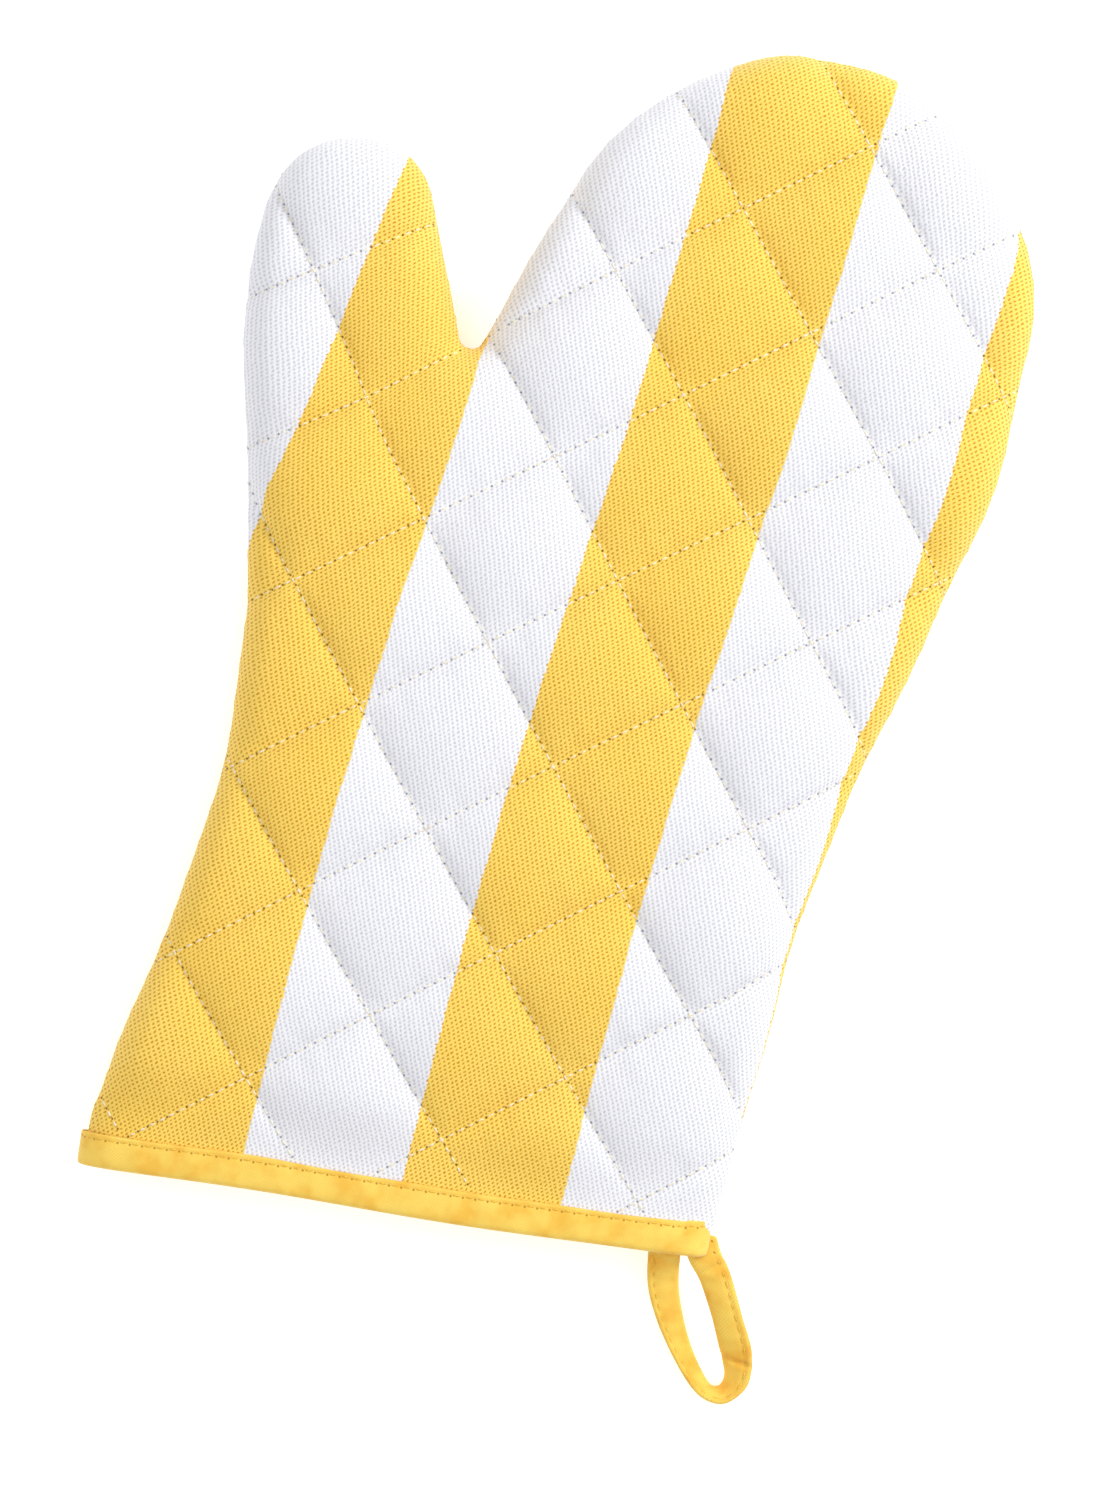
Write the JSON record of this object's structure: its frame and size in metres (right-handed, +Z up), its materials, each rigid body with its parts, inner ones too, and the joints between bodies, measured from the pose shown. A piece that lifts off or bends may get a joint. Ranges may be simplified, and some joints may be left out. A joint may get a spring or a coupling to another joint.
{
  "type": "oven mitt",
  "caption": "Quilted oven mitt with one thumb, diagonally striped cotton cover, tape-bound cuff and a tape loop to hang it by, lying flat with its palm up.",
  "frame": {"origin": "under the middle of the whole mitt with its loop, on the surface that it lies on", "axes": "+Y from the cuff towards the fingertips, +Z up out of the palm side, +X away from the thumb"},
  "size_m": [0.2068, 0.3376, 0.028],
  "materials": {
    "striped_cotton": "heavy basket-weave cotton in yellow and white stripes 40 mm wide",
    "binding_tape": "plain yellow cotton tape, folded and top-stitched",
    "lining_cotton": "plain unbleached cotton",
    "wadding": "soft cotton wadding",
    "quilting_thread": "cream polyester thread in a lock stitch",
    "sewing_thread": "off-white polyester thread",
    "yellow_thread": "yellow polyester thread matched to the tape"
  },
  "bodies": {
    "hand": {"palm_cover": "striped_cotton", "palm_wadding": "wadding", "palm_lining": "lining_cotton", "palm_quilting_thread": "quilting_thread", "back_cover": "striped_cotton", "back_wadding": "wadding", "back_lining": "lining_cotton", "back_quilting_thread": "quilting_thread", "seam_allowance": "lining_cotton", "seam_thread": "sewing_thread", "overlock_thread": "sewing_thread", "cuff_binding": "binding_tape", "binding_stitching": "yellow_thread", "loop_tails": "binding_tape"},
    "thumb": {"palm_cover_thumb": "striped_cotton", "palm_wadding_thumb": "wadding", "palm_lining_thumb": "lining_cotton", "palm_quilting_thread_thumb": "quilting_thread", "back_cover_thumb": "striped_cotton", "back_wadding_thumb": "wadding", "back_lining_thumb": "lining_cotton", "back_quilting_thread_thumb": "quilting_thread", "seam_allowance_thumb": "lining_cotton", "seam_thread_thumb": "sewing_thread", "overlock_thread_thumb": "sewing_thread"},
    "loop": {"hanging_loop": "binding_tape", "loop_stitching": "yellow_thread"}
  },
  "joints": [
    {"name": "thumb_flex", "type": "hinge", "parent": "hand", "child": "thumb", "pos_m": [-0.06098, 0.03731, 0.028], "axis": [0.389, 0.9212, 0], "range_deg": [0, 60], "stiffness_Nm_per_rad": 0.05},
    {"name": "loop_swing", "type": "hinge", "parent": "hand", "child": "loop", "pos_m": [0.05322, -0.13389, 0.011], "axis": [1, 0, 0], "range_deg": [-104, 76]}
  ]
}
